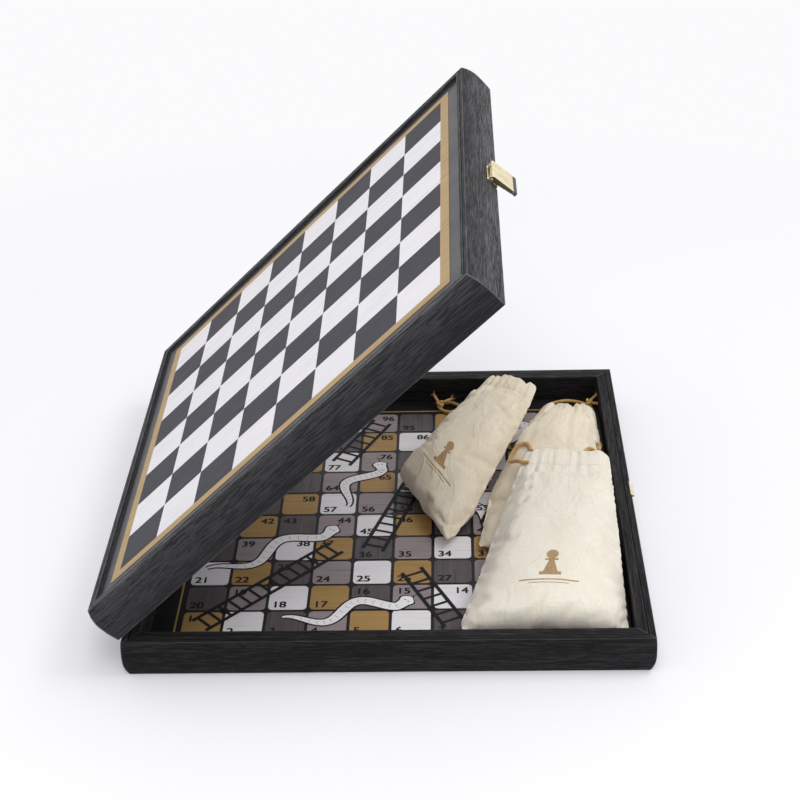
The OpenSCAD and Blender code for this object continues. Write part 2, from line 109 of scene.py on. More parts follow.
def curve_through(points, steps):
    """Points on a smooth curve that passes through the given ones."""
    p = [np.array(q, float) for q in points]
    p = [2 * p[0] - p[1]] + p + [2 * p[-1] - p[-2]]
    path = []
    for a, b, c, d in zip(p, p[1:], p[2:], p[3:]):
        for k in range(steps):
            t = k / steps
            path.append(0.5 * (2 * b + (c - a) * t + (2 * a - 5 * b + 4 * c - d) * t * t
                               + (3 * b - 3 * c + d - a) * t ** 3))
    path.append(p[-2])
    return path


def path_length(path):
    return sum(float(np.linalg.norm(b - a)) for a, b in zip(path, path[1:]))


def tube(path, radius, sides=12, closed=False):
    """Vertices and faces of a round tube along a path. radius is a number or a function of the share gone."""
    count = len(path)
    side = unit(np.cross(path[1] - path[0], [0.31, 0.22, 0.92]))
    vertices = []
    faces = []
    for i, place in enumerate(path):
        before = path[i - 1] if i or closed else path[0]
        after = path[(i + 1) % count] if i < count - 1 or closed else path[-1]
        along = unit(after - before)
        side = unit(side - along * np.dot(side, along))
        up = np.cross(along, side)
        r = radius(i / (count - 1)) if callable(radius) else radius
        for k in range(sides):
            angle = 2 * math.pi * k / sides
            vertices.append(place + r * (side * math.cos(angle) + up * math.sin(angle)))
    for i in range(count if closed else count - 1):
        here, there = i * sides, (i + 1) % count * sides
        for k in range(sides):
            beside = (k + 1) % sides
            faces.append((here + k, here + beside, there + beside, there + k))
    if not closed:
        faces.append(tuple(reversed(range(sides))))
        faces.append(tuple(range((count - 1) * sides, count * sides)))
    return vertices, faces


def joined(shapes):
    """One list of vertices and one of faces from several such pairs."""
    vertices = []
    faces = []
    for more_vertices, more_faces in shapes:
        start = len(vertices)
        vertices.extend(more_vertices)
        faces.extend(tuple(start + i for i in face) for face in more_faces)
    return vertices, faces


# Node helpers


class Field:
    """A number that varies over a surface, so that node maths reads like plain maths."""

    def __init__(self, tree, socket):
        self.tree = tree
        self.socket = socket

    def maths(self, operation, *others):
        node = self.tree.nodes.new("ShaderNodeMath")
        node.operation = operation
        for place, value in zip(node.inputs, (self, *others)):
            connect(self.tree, place, value)
        return Field(self.tree, node.outputs[0])

    def __add__(self, other):
        return self.maths("ADD", other)

    def __sub__(self, other):
        return self.maths("SUBTRACT", other)

    def __mul__(self, other):
        return self.maths("MULTIPLY", other)

    def __gt__(self, other):
        return self.maths("GREATER_THAN", other)

    def __lt__(self, other):
        return self.maths("LESS_THAN", other)

    def __or__(self, other):
        return self.maths("MAXIMUM", other)

    def size(self):
        return self.maths("ABSOLUTE")

    def repeat(self, length):
        """Distance from the nearest multiple of length."""
        return self.maths("PINGPONG", length / 2)


def connect(tree, place, value):
    """Sets an input to a number or a colour, or links it to a field or an output."""
    if isinstance(value, Field):
        value = value.socket
    if isinstance(value, bpy.types.NodeSocket):
        tree.links.new(value, place)
    else:
        place.default_value = value


class Surface:
    """A material under construction: a Principled shader and the pattern nodes that feed it. In the lid its
    patterns lie as in the shut box."""

    def __init__(self, name, in_lid=False):
        self.turn, self.shift = (LID_TURN, LID_SHIFT) if in_lid else (NO_MOVE, NO_MOVE)
        self.material = bpy.data.materials.new(name)
        self.material.use_nodes = True
        self.tree = self.material.node_tree
        self.shader = next(n for n in self.tree.nodes if n.type == "BSDF_PRINCIPLED")

    def node(self, kind, inputs=None, **settings):
        made = self.tree.nodes.new("ShaderNode" + kind)
        for name, value in settings.items():
            setattr(made, name, value)
        for name, value in (inputs or {}).items():
            connect(self.tree, made.inputs[name], value)
        return made

    def place(self, scale=(1, 1, 1), uv=None):
        """Object coordinates, or those of a UV map, stretched."""
        if uv:
            start = self.node("UVMap", uv_map=uv).outputs[0]
        else:
            start = self.node("TexCoord").outputs["Object"]
        turned = self.node("Mapping", {"Vector": start, "Rotation": self.turn, "Location": self.shift})
        return self.node("Mapping", {"Vector": turned.outputs[0], "Scale": scale}).outputs[0]

    def grained(self, way, along, across, deep=1):
        """Coordinates for a grain that runs along X or Y."""
        return self.place((along, across, deep) if way == "X" else (across, along, deep))

    def parts(self, vector):
        split = self.node("SeparateXYZ", {0: vector})
        return [Field(self.tree, out) for out in split.outputs]

    def grain(self, vector, scale=1.0, detail=4.0, roughness=0.6, distortion=0.0):
        """Noise from 0 to 1."""
        made = self.node("TexNoise", {"Vector": vector, "Scale": scale, "Detail": detail,
                                      "Roughness": roughness, "Distortion": distortion})
        return Field(self.tree, made.outputs[0])

    def ramp(self, field, start, end, low=0.0, high=1.0):
        """Follows field from low, where it is at start, to high, where it is at end."""
        made = self.node("MapRange", {"Value": field, "From Min": start, "From Max": end,
                                      "To Min": low, "To Max": high})
        return Field(self.tree, made.outputs[0])

    def blend(self, field, first, second):
        """A colour that goes from first to second as field goes from 0 to 1."""
        made = self.node("Mix", data_type="RGBA")
        connect(self.tree, made.inputs[0], field)
        for place, colour in ((made.inputs[6], first), (made.inputs[7], second)):
            connect(self.tree, place, colour if isinstance(colour, bpy.types.NodeSocket) else (*colour, 1))
        return made.outputs[2]

    def bump(self, height, distance, strength=1.0, normal=None):
        made = self.node("Bump", {"Height": height, "Distance": distance, "Strength": strength})
        if normal is not None:
            self.tree.links.new(normal, made.inputs["Normal"])
        return made.outputs[0]

    def round_edges(self, radius):
        """Normal that rounds sharp edges, and a field that is 1 along them."""
        soft = self.node("Bevel", {"Radius": radius}, samples=6).outputs[0]
        flat = self.node("NewGeometry").outputs["Normal"]
        match = self.node("VectorMath", {0: soft, 1: flat}, operation="DOT_PRODUCT").outputs["Value"]
        return soft, self.ramp(Field(self.tree, match), 0.90, 0.995, 1.0, 0.0)

    def finish(self, colour, roughness, normal=None, shine=0.5, **settings):
        values = {"Base Color": colour, "Roughness": roughness, "Specular IOR Level": shine, **settings}
        for name, value in values.items():
            connect(self.tree, self.shader.inputs[name], value)
        if normal is not None:
            self.tree.links.new(normal, self.shader.inputs["Normal"])
        return self.material


# Tones of the wood: between the streaks, in the streaks, and rubbed along the edges, where wear and a painted
# highlight lighten it. The lid's are painted lighter and the tray's darker, as painted light and shade on one wood
LIT_LID_WOOD = (0.042, 0.0415, 0.0445), (0.105, 0.104, 0.112), (0.20, 0.198, 0.205)
SHADED_TRAY_WOOD = (0.0030, 0.0028, 0.0032), (0.026, 0.0242, 0.0264), (0.085, 0.082, 0.086)
PORE = (0.0040, 0.0038, 0.0040)
# Painted shade, laid across the lid's moulding
PAINTED_SHADE_TONE = (0.012, 0.0118, 0.013)
# Dirt and painted shade in the fine lines of the moulding
DIRT_AND_SHADE = (0.0012, 0.0012, 0.0014)
# Black print of the boards, from its darker to its lighter places
LID_BLACK = (0.0145, 0.0138, 0.0172), (0.0265, 0.0252, 0.0300)
TRAY_BLACK = (0.0075, 0.0065, 0.0080), (0.0150, 0.0135, 0.0160)
# Coloured prints
WHITE = (0.87, 0.85, 0.885)
GOLD = (0.40, 0.243, 0.083)
PALE_GOLD = (0.46, 0.306, 0.128)
CHARCOAL = (0.095, 0.081, 0.087)
CHESS_CHARCOAL = (0.051, 0.049, 0.061)
TAUPE = (0.305, 0.257, 0.267)
# Inks on the numbered board
SNAKE_BLACK = (0.009, 0.008, 0.0105)
SNAKE_WHITE = (0.93, 0.915, 0.945)
LADDER_INK = (0.011, 0.0095, 0.012)
NUMBER_INK = (0.012, 0.0105, 0.013)
BRASS = (0.88, 0.785, 0.53)
TARNISHED = (0.66, 0.54, 0.31)
# Painted shade on the brass sides
BRASS_SIDE_SHADE = (0.055, 0.045, 0.022)
# Painted highlight on the brass edges
BRASS_HIGHLIGHT = (0.97, 0.91, 0.72)
PLASTIC = (0.030, 0.028, 0.034), (0.052, 0.048, 0.058)
PLASTIC_EDGE = (0.11, 0.10, 0.12)
CORD = (0.46, 0.265, 0.075), (0.68, 0.44, 0.15)
CORD_FIBRE = (0.22, 0.115, 0.030)
# Cotton: its dull and pale places and its thick threads
NATURAL = (0.79, 0.695, 0.535), (0.89, 0.815, 0.67), (0.70, 0.60, 0.44)
# A lighter copy of the cotton for the front pouch, which lies in the light: painted light
LIT_COTTON_TONES = (0.855, 0.79, 0.67), (0.925, 0.885, 0.785), (0.77, 0.70, 0.57)
FLECK = (0.33, 0.22, 0.10)
STITCH = (0.62, 0.54, 0.41)
MOTIF = (0.36, 0.20, 0.06)

# Fine lines in the moulding, by their distance from the box's middle, and the heights of seam and top
FOOT_LINE = 0.1305
SEAM_LINE = 0.131
LINE_HALF_W = 0.42 * MM
SEAM_Z = 0.022
LID_TOP = 2 * SEAM_Z


def black_wood(name, way, in_lid):
    """Black stained, open-grained wood with its grain along X or Y. The lid's tones are painted lighter than the
    tray's, as painted light.
    """
    s = Surface(name, in_lid)
    bands = s.grain(s.grained(way, 7, 95, 95), detail=3, roughness=0.55, distortion=0.8)
    streaks = s.grain(s.grained(way, 65, 1250, 1250), detail=3, roughness=0.75, distortion=0.3)
    pores = s.grain(s.grained(way, 95, 1600, 1600), detail=2, roughness=0.6, distortion=0.4)
    fibres = s.grain(s.grained(way, 150, 3000, 3000), detail=2, roughness=0.6)
    soft, edge = s.round_edges(0.9 * MM)
    # The pores crowd together in the early wood of each year's ring
    crowd = s.ramp(bands, 0.35, 0.65, -0.06, 0.06)
    pore = s.ramp(pores + crowd, 0.43, 0.50, 1.0, 0.0)
    streak = s.ramp(streaks + crowd * 0.6, 0.40, 0.62)
    tone = streak * 0.75 + s.ramp(fibres, 0.35, 0.65, 0.0, 0.25)
    x, y, z = s.parts(s.place())
    # The lid's lighter tones are painted light, the tray's darker ones painted shade
    dark, light, worn_highlight = LIT_LID_WOOD if in_lid else SHADED_TRAY_WOOD
    pored = s.blend(pore * (0.75 if in_lid else 0.85), s.blend(tone, dark, light), PORE)
    if in_lid:
        # Painted shade across the moulding: on the rails along X darkest at the seam, less towards the top and
        # none in its last 1.5 mm; on those along Y darker towards the top
        if way == "X":
            painted_shade = (s.ramp(z, SEAM_Z, LID_TOP, 0.85, 0.45)
                      * s.ramp(z, LID_TOP - 1.5 * MM, LID_TOP, 1.0, 0.0))
        else:
            painted_shade = s.ramp(z, SEAM_Z + 7 * MM, LID_TOP, 0.0, 0.85)
        pored = s.blend(painted_shade, pored, PAINTED_SHADE_TONE)
    # Part wear, part painted highlight: the foil ends at the mitres and shows a thin pale line there, and the
    # rounded edges are lightened too
    mitre = s.ramp((x.size() - y.size()).size(), 0.15 * MM, 0.50 * MM, 1.0, 0.0)
    pale = (edge | mitre) * s.ramp(streaks, 0.40, 0.60, 0.5, 1.0)
    worn = s.blend(pale, pored, worn_highlight)
    # Dirt and painted shade in the fine lines along the foot and the seam
    outward = x.size() | y.size()
    level = (z - SEAM_Z).size()
    foot_line = ((outward - FOOT_LINE).size() < LINE_HALF_W) * (level > SEAM_Z - 1 * MM)
    seam_line = ((outward - SEAM_LINE).size() < LINE_HALF_W) * (level < 1 * MM)
    shown = s.blend((foot_line | seam_line) * 0.9, worn, DIRT_AND_SHADE)
    height = streak * 0.45 + fibres * 0.3 - pore
    return s.finish(shown, s.ramp(tone - pore * 0.5, 0.0, 1.0, 0.74, 0.44),
                    s.bump(height, 0.14 * MM, 0.85, soft), shine=0.22 if in_lid else 0.17)


def printed(name, colour, way, in_lid, depth=0.16, streak=0.35, roughness=0.45, shine=0.35):
    """A printed panel with fine wood grain in it, along X or Y."""
    s = Surface(name, in_lid)
    fine = s.grain(s.grained(way, 45, 1500), detail=3, roughness=0.65)
    broad = s.grain(s.grained(way, 14, 330), detail=3, roughness=0.6, distortion=0.6)
    lines = s.grain(s.grained(way, 22, 900), detail=1, roughness=0.5)
    shade = [c * (1 - depth - streak) for c in colour]
    light = [min(1, c * (1 + 0.7 * depth)) for c in colour]
    grain = s.ramp(fine * 0.5 + broad * 0.5, 0.34, 0.64)
    base = s.blend(grain, [c * (1 - depth) for c in colour], light)
    dark_line = s.ramp(lines, 0.30, 0.39, 1.0, 0.0)
    shown = s.blend(dark_line * 0.7, base, shade)
    return s.finish(shown, s.ramp(fine, 0.3, 0.7, roughness + 0.07, roughness - 0.05),
                    s.bump(fine + dark_line * -0.6, 0.03 * MM, 0.6), shine)


def black_board(name, in_lid):
    """The boards' own black print, between and around the coloured squares."""
    s = Surface(name, in_lid)
    fine = s.grain(s.place((40, 900, 40)), detail=3)
    cloud = s.grain(s.place((25, 25, 25)), detail=4)
    colour = s.blend(s.ramp(fine, 0.3, 0.7), *(LID_BLACK if in_lid else TRAY_BLACK))
    return s.finish(colour, s.ramp(cloud, 0.35, 0.65, 0.34, 0.44), s.bump(fine, 0.03 * MM, 0.5),
                    shine=0.5 if in_lid else 0.25)


def brass(name, in_lid):
    """Pale brass, brushed along Y, with softened edges that carry a painted highlight, sides darkened with painted
    shade, and slight tarnish.
    """
    s = Surface(name, in_lid)
    brushed = s.grain(s.place((4200, 90, 4200)), detail=3, roughness=0.7)
    tarnish = s.grain(s.place((160, 160, 160)), detail=5, roughness=0.65)
    soft, edge = s.round_edges(0.5 * MM)
    metal = s.blend(s.ramp(tarnish, 0.42, 0.74), BRASS, TARNISHED)
    # Painted shade on the sides that face along Y, which are rougher as well
    sides = s.parts(s.node("TexCoord").outputs["Normal"])[1].size()
    dull = s.ramp(sides, 0.75, 0.95)
    side_shaded = s.blend(dull * 0.95, metal, BRASS_SIDE_SHADE)
    # Painted highlight along the softened edges
    edge_highlighted = s.blend(edge * 0.9, side_shaded, BRASS_HIGHLIGHT)
    rough = s.ramp(brushed * 0.5 + tarnish * 0.5, 0.35, 0.65, 0.30, 0.44) + dull * 0.16
    return s.finish(edge_highlighted, rough, s.bump(brushed, 0.02 * MM, 0.5, soft), Metallic=1.0)


def black_plastic(name):
    """Matt black plastic with a faint moulded texture."""
    s = Surface(name, in_lid=True)
    pits = s.grain(s.place((2600, 2600, 2600)), detail=2)
    cloud = s.grain(s.place((300, 300, 300)), detail=3)
    soft, edge = s.round_edges(0.3 * MM)
    colour = s.blend(s.ramp(cloud, 0.35, 0.65), *PLASTIC)
    worn = s.blend(edge * 0.6, colour, PLASTIC_EDGE)
    return s.finish(worn, s.ramp(pits, 0.3, 0.7, 0.44, 0.58), s.bump(pits, 0.03 * MM, 0.5, soft))


def ink(name, colour, lost=0.14, shine=0.2):
    """A flat printing ink that loses a little of its colour to the wood grain."""
    s = Surface(name)
    fine = s.grain(s.place((45, 1500, 1)), detail=3, roughness=0.65)
    specks = s.grain(s.place((700, 700, 700)), detail=2)
    shade = [c * (1 - lost) for c in colour]
    shown = s.blend(s.ramp(fine * 0.6 + specks * 0.4, 0.36, 0.62), shade, colour)
    return s.finish(shown, s.ramp(fine, 0.3, 0.7, 0.62, 0.52), s.bump(fine, 0.02 * MM, 0.5), shine)


def waxed_cord(name):
    """Ochre waxed cord: fine twisted fibres with darker places where it was handled."""
    s = Surface(name)
    fibres = s.grain(s.place((1500, 1500, 1500)), detail=3, roughness=0.7)
    worn = s.grain(s.place((170, 170, 170)), detail=4, roughness=0.6)
    base = s.blend(s.ramp(worn, 0.36, 0.66), *CORD)
    shown = s.blend(s.ramp(fibres, 0.42, 0.72, 0.0, 0.55), base, CORD_FIBRE)
    return s.finish(shown, s.ramp(worn, 0.3, 0.7, 0.62, 0.48), s.bump(fibres + worn * 0.5, 0.10 * MM, 0.7),
                    shine=0.4, **{"Sheen Weight": 0.15})


# Strings of the pouches: the same routes as in the solids, each out of the hem and back into it
STRING_D = 0.0022
LEFT_ROUTE = [
    (0.053, 0.097, 0.026), (0.049, 0.099, 0.024), (0.045, 0.102, 0.019), (0.041, 0.105, 0.013),
    (0.036, 0.107, 0.009), (0.031, 0.109, 0.007), (0.027, 0.1125, 0.0065), (0.0258, 0.1168, 0.0065),
    (0.0284, 0.1206, 0.0065), (0.033, 0.1212, 0.0065), (0.037, 0.1182, 0.0066), (0.0404, 0.113, 0.0086),
    (0.044, 0.1082, 0.013), (0.048, 0.1042, 0.019), (0.051, 0.1014, 0.024), (0.054, 0.099, 0.026),
]
FRONT_LEFT_ROUTE = [
    (0.077, 0.008, 0.034), (0.075, 0.009, 0.0338), (0.0725, 0.0105, 0.0332), (0.071, 0.013, 0.032),
    (0.0695, 0.0155, 0.0304), (0.068, 0.0185, 0.028), (0.0672, 0.022, 0.026), (0.067, 0.025, 0.0248),
    (0.0674, 0.029, 0.0245), (0.069, 0.033, 0.025), (0.071, 0.036, 0.0264), (0.0735, 0.037, 0.0278),
    (0.076, 0.0365, 0.029), (0.078, 0.034, 0.0296), (0.079, 0.030, 0.030), (0.079, 0.026, 0.0314),
    (0.0795, 0.022, 0.033),
]
FRONT_RIGHT_ROUTE = [
    (0.113, 0.016, 0.0324), (0.1146, 0.018, 0.0316), (0.116, 0.020, 0.0304), (0.1174, 0.022, 0.0288),
    (0.1184, 0.024, 0.0268), (0.119, 0.026, 0.025), (0.1194, 0.028, 0.0236), (0.119, 0.0304, 0.0236),
    (0.118, 0.032, 0.0244), (0.1164, 0.033, 0.0256), (0.1146, 0.033, 0.0268), (0.113, 0.032, 0.0276),
    (0.1116, 0.030, 0.028), (0.1106, 0.028, 0.0284), (0.110, 0.026, 0.0288), (0.1094, 0.0235, 0.0298),
    (0.109, 0.021, 0.031), (0.109, 0.017, 0.0324),
]
BACK_ROUTE = [
    (0.114, 0.088, 0.018), (0.117, 0.093, 0.016), (0.120, 0.098, 0.012), (0.1215, 0.103, 0.0086),
    (0.122, 0.108, 0.0068), (0.121, 0.113, 0.0065), (0.117, 0.118, 0.0065), (0.111, 0.121, 0.0065),
    (0.104, 0.1215, 0.0065), (0.098, 0.119, 0.0065), (0.093, 0.115, 0.0065), (0.090, 0.110, 0.0065),
    (0.089, 0.105, 0.007), (0.091, 0.100, 0.009), (0.095, 0.095, 0.013), (0.099, 0.091, 0.016),
]
STRINGS = [
    ("left_pouch_string", LEFT_ROUTE, "left_bag", "left_pouch_knot"),
    ("front_pouch_left_string", FRONT_LEFT_ROUTE, "front_bag", None),
    ("front_pouch_right_string", FRONT_RIGHT_ROUTE, "front_bag", "front_pouch_knot"),
    ("back_pouch_string", BACK_ROUTE, "back_bag", "back_pouch_knot"),
]
# Turn of each knot about X, Y and Z, in degrees
KNOT_TURN = {
    "left_pouch_knot": (35, 10, 20),
    "front_pouch_knot": (70, 20, 95),
    "back_pouch_knot": (15, 25, -40),
}
TAIL_L = 0.006
# The two tails' seeds and directions, before the knot is turned
TAILS = [(1, (0.75, 0.55, 0.25)), (2, (-0.35, 0.85, 0.3))]
# Loose fibres at each tail's tip
FRAYED = 7


def knot_line(size, flat):
    """A trefoil, which is an overhand knot with its ends joined."""
    steps = 60
    line = []
    for i in range(steps):
        t = 2 * math.pi * i / steps
        line.append(np.array([size * (math.sin(t) + 2 * math.sin(2 * t)) / 3,
                              size * (math.cos(t) - 2 * math.cos(2 * t)) / 3,
                              -flat * math.sin(3 * t)]))
    return line


def frayed_tail(start, direction, seed):
    """A short end of the string and the loose fibres at its tip."""
    side = unit(np.cross(direction, [0.2, 0.3, 0.9]))
    up = np.cross(direction, side)
    bend = side * 0.25 * TAIL_L
    tip = start + direction * TAIL_L + bend
    shapes = [tube([start, start + direction * TAIL_L / 2 + bend * 0.3, tip],
                   lambda t: STRING_D * (0.46 - 0.06 * t), 8)]
    for k in range(FRAYED):
        angle = 2 * math.pi * (k + 0.37 * seed) / FRAYED
        spread = (side * math.cos(angle) + up * math.sin(angle)) * STRING_D
        end = tip + direction * STRING_D * (0.9 + 0.5 * math.sin(5 * k + seed)) + spread * 0.75
        middle = tip + direction * STRING_D * 0.4 + spread * 0.3
        shapes.append(tube([tip - direction * STRING_D * 0.2 + spread * 0.2, middle, end],
                           lambda t: STRING_D * (0.14 - 0.10 * t), 5))
    return joined(shapes)


def make_knot(node, material, body):
    """A pulled-tight overhand knot with two frayed ends, in the place of its solid."""
    low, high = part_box(node)
    centre = (low + high) / 2
    about_x, about_y, about_z = (math.radians(a) for a in KNOT_TURN[node])
    turn = np.array(Matrix.Rotation(about_z, 3, "Z") @ Matrix.Rotation(about_y, 3, "Y")
                    @ Matrix.Rotation(about_x, 3, "X"))
    line = knot_line(0.62 * (high.x - low.x) / 2 + 0.2 * MM, 0.3 * (high.z - low.z))
    placed = [np.array(centre) + turn @ p for p in line]
    shapes = [tube(placed, STRING_D * 0.44, 12, closed=True)]
    for seed, way in TAILS:
        direction = turn @ unit(np.array(way))
        direction[2] = abs(direction[2]) * 0.4
        shapes.append(frayed_tail(np.array(centre) + direction * STRING_D * 0.8, unit(direction), seed))
    vertices, faces = joined(shapes)
    knot = add_mesh(node + "_tied", vertices, faces, material, body)
    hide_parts(node)
    return knot


def make_strings():
    material = waxed_cord("ochre_cord")
    for node, route, body, knot_node in STRINGS:
        path = curve_through(route, 6)
        length = path_length(path)

        def thickness(t, seed=len(route)):
            return STRING_D / 2 * (1 + 0.035 * math.sin(47 * t + seed) + 0.025 * math.sin(113 * t))

        vertices, faces = tube(path, thickness, 14)
        piece = add_mesh(node + "_cord", vertices, faces, material, body)
        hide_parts(node)
        on_it = [make_knot(knot_node, material, body)] if knot_node else []


# Inner board: numbers, snakes and ladders printed on the squares
CELLS = 10
# Thickness of one coat of ink
INK_T = 0.03 * MM
# From the outside of the gold line to the ten rows of squares
LINE_MARGIN = 3.2 * MM
CELL_GAP = 1.7 * MM
BOARD_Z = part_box("numbered_gold_squares")[1].z
line_low, line_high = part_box("numbered_gold_line")
CELL_PITCH = (line_high.x - line_low.x - 2 * LINE_MARGIN) / CELLS


def cell_centre(number):
    """Middle of a numbered square. The numbers start front left and turn back at each row's end."""
    row, step = divmod(number - 1, CELLS)
    column = step if row % 2 == 0 else CELLS - 1 - step
    return np.array([(column - (CELLS - 1) / 2) * CELL_PITCH, (row - (CELLS - 1) / 2) * CELL_PITCH])


def printed_shape(name, shapes, level, material):
    """Flat shapes of ink on the board, each a row of pairs of points. level is the number of coats under
    them."""
    vertices = []
    faces = []
    for k, pairs in enumerate(shapes):
        # Shapes that cross each other lie a hair apart
        height = BOARD_Z + (level + 1 + 0.3 * (k % 3) / 3) * INK_T
        start = len(vertices)
        vertices.extend((x, y, height) for pair in pairs for x, y in pair)
        faces.extend((start + i, start + i + 2, start + i + 3, start + i + 1)
                     for i in range(0, 2 * len(pairs) - 2, 2))
    return add_mesh(name, vertices, faces, material, "tray", smooth=False)


def ribbon(line, widths):
    """Pairs of points on both sides of a line in the plane, from its right to its left."""
    pairs = []
    for i, place in enumerate(line):
        along = unit(line[min(i + 1, len(line) - 1)] - line[max(i - 1, 0)])
        across = np.array([-along[1], along[0]]) * widths[i] / 2
        pairs.append((place - across, place + across))
    return pairs


def dot(centre, radius):
    """A round dot, as a ribbon across it."""
    turns = [math.pi * (k / 8 - 0.5) for k in range(9)]
    line = [centre + np.array([radius * math.sin(a), 0]) for a in turns]
    return ribbon(line, [2 * radius * math.cos(a) + 1e-5 for a in turns])


# Each snake: head square, tail square, number of bends, sideways sway
SNAKES = [(44, 21, 3.4, 5.8), (76, 57, 2.4, 6.5), (15, 3, 3.4, 5.8), (92, 73, 1.6, 5.0), (54, 30, 3, 7.0),
          (80, 60, 1.6, 5.0), (87, 68, 2.0, 5.0)]
SNAKE_W = 7.2 * MM
SNAKE_STEPS = 96
OUTLINE_W = 1.05 * MM
# Marks across a snake's back: steps before the first, after the last, and from one to the next
MARKS = (13, 6, 5)
MARK_HALF = 0.34
MARK_BEND = 0.9 * MM
MARK_WIDTHS = [0.08 * MM, 0.24 * MM, 0.08 * MM]
EYE_OUT = 1.2 * MM
EYE_R = 0.42 * MM
# Tongue: its length, where it forks, how far its tips stand out, and its width
TONGUE_L = 4.6 * MM
FORK_AT = 3.0 * MM
FORK_OUT = 1.1 * MM
TONGUE_W = 0.45 * MM
# Each ladder: its lower and its upper square
LADDERS = [(1, 37), (36, 66), (7, 26), (77, 96), (9, 32), (62, 83), (48, 72), (70, 91)]
LADDER_W = 11.5 * MM
LADDER_MORE = 1.5 * MM
RAIL_W = 2.2 * MM
RUNG_W = 0.8 * RAIL_W
RUNG_STEP = 7.0 * MM
# How far a rung reaches, as a share of half the ladder's width
RUNG_REACH = 1.14


def snake_line(head, tail, bends, sway):
    """The middle of a snake and its width along it, from the snout to the tip of the tail."""
    start, end = cell_centre(head), cell_centre(tail)
    along = unit(end - start)
    across = np.array([-along[1], along[0]])
    line = []
    widths = []
    for i in range(SNAKE_STEPS + 1):
        t = i / SNAKE_STEPS
        swing = math.sin(math.pi * bends * t + 0.35) * sway * MM * min(1, 5 * t + 0.25)
        line.append(start + (end - start) * t + across * swing)
        head_bulge = 0.34 * math.exp(-((t - 0.045) / 0.030) ** 2)
        nose = min(1, math.sqrt(t / 0.035)) if t < 0.035 else 1
        widths.append(SNAKE_W * (nose * (0.80 + head_bulge) - 0.62 * max(0, (t - 0.55) / 0.45) ** 1.4)
                      + 0.15 * MM)
    return line, widths


def make_snakes():
    outlines = []
    bodies = []
    marks = []
    for head, tail, bends, sway in SNAKES:
        line, widths = snake_line(head, tail, bends, sway)
        snout = line[0] + unit(line[0] - line[3]) * OUTLINE_W
        outlines.append(ribbon([snout] + line, [widths[0] + OUTLINE_W] + [w + 2 * OUTLINE_W for w in widths]))
        bodies.append(ribbon(line, widths))
        for i in range(MARKS[0], len(line) - MARKS[1], MARKS[2]):
            along = unit(line[i + 1] - line[i - 1])
            across = np.array([-along[1], along[0]]) * widths[i] * MARK_HALF
            bend = line[i] + along * MARK_BEND
            marks.append(ribbon([line[i] - across, bend, line[i] + across], MARK_WIDTHS))
        facing = unit(line[0] - line[6])
        beside = np.array([-facing[1], facing[0]])
        for side in (-1, 1):
            marks.append(dot(line[5] + beside * side * EYE_OUT, EYE_R))
            tip = line[0] + facing * TONGUE_L + beside * side * FORK_OUT
            marks.append(ribbon([line[0], line[0] + facing * FORK_AT, tip], [TONGUE_W] * 3))
    black = ink("black_ink", SNAKE_BLACK)
    white = ink("white_ink", SNAKE_WHITE, lost=0.05, shine=0.4)
    printed_shape("snake_outlines", outlines, 0, black)
    printed_shape("snake_bodies", bodies, 1, white)
    printed_shape("snake_markings", marks, 2, black)


def make_ladders():
    rails = []
    rungs = []
    for low, high in LADDERS:
        start, end = cell_centre(low), cell_centre(high)
        along = unit(end - start)
        across = np.array([-along[1], along[0]]) * LADDER_W / 2
        start = start - along * LADDER_MORE
        end = end + along * LADDER_MORE
        for side in (-1, 1):
            rails.append(ribbon([start + across * side, end + across * side], [RAIL_W] * 2))
        length = float(np.linalg.norm(end - start))
        count = round(length / RUNG_STEP)
        for k in range(count):
            middle = start + along * length * (k + 0.5) / count
            rungs.append(ribbon([middle - across * RUNG_REACH, middle + across * RUNG_REACH], [RUNG_W] * 2))
    material = ink("ladder_ink", LADDER_INK)
    printed_shape("ladder_rungs", rungs, 3, material)
    printed_shape("ladder_rails", rails, 4, material)


DIGIT_SIZE = 7.4 * MM
DIGIT_STRETCH = Matrix.Diagonal((1.04, 0.96, 1, 1))
# From the sides of a square to its number
DIGIT_INSET = 1.9 * MM
# Squares whose number stands in another corner than the lower left, to keep clear of the prints
UPPER_RIGHT = (14, 38, 42, 44, 58, 65, 76, 85, 86, 96)
UPPER_LEFT = (1, 15, 16, 19, 23, 37, 39, 43, 46, 63)
# Each number is printed four times, this many mm aside and each a hair higher, for heavier strokes
HEAVIER = [(-0.19, -0.13), (-0.19, 0.13), (0.19, -0.13), (0.19, 0.13)]
NUMBER_LEVEL = 2.4


def make_numbers():
    """The numbers 1 to 100 in a plain face, one mesh."""
    everything = bmesh.new()
    from_centre = (CELL_PITCH - CELL_GAP) / 2 - DIGIT_INSET
    for number in range(1, CELLS * CELLS + 1):
        data = bpy.data.curves.new("number", "FONT")
        data.body = str(number)
        data.size = DIGIT_SIZE
        right = number in UPPER_RIGHT
        upper = right or number in UPPER_LEFT
        data.align_x = "RIGHT" if right else "LEFT"
        data.align_y = "TOP" if upper else "BOTTOM_BASELINE"
        text = bpy.data.objects.new("number", data)
        scene.collection.objects.link(text)
        side_x, side_y = (1 if right else -1), (1 if upper else -1)
        x, y = cell_centre(number)
        for k, (shift_x, shift_y) in enumerate(HEAVIER):
            flat = bpy.data.meshes.new_from_object(text)
            corner = (x + side_x * from_centre + shift_x * MM, y + side_y * from_centre + shift_y * MM,
                      BOARD_Z + (NUMBER_LEVEL + 0.1 * k) * INK_T)
            flat.transform(Matrix.Translation(corner) @ DIGIT_STRETCH)
            everything.from_mesh(flat)
            bpy.data.meshes.remove(flat)
        bpy.data.objects.remove(text)
        bpy.data.curves.remove(data)
    mesh = bpy.data.meshes.new("board_numbers")
    everything.to_mesh(mesh)
    everything.free()
    add_piece(mesh, ink("number_ink", NUMBER_INK), "tray")


# Finishes of the solids that stay as they are


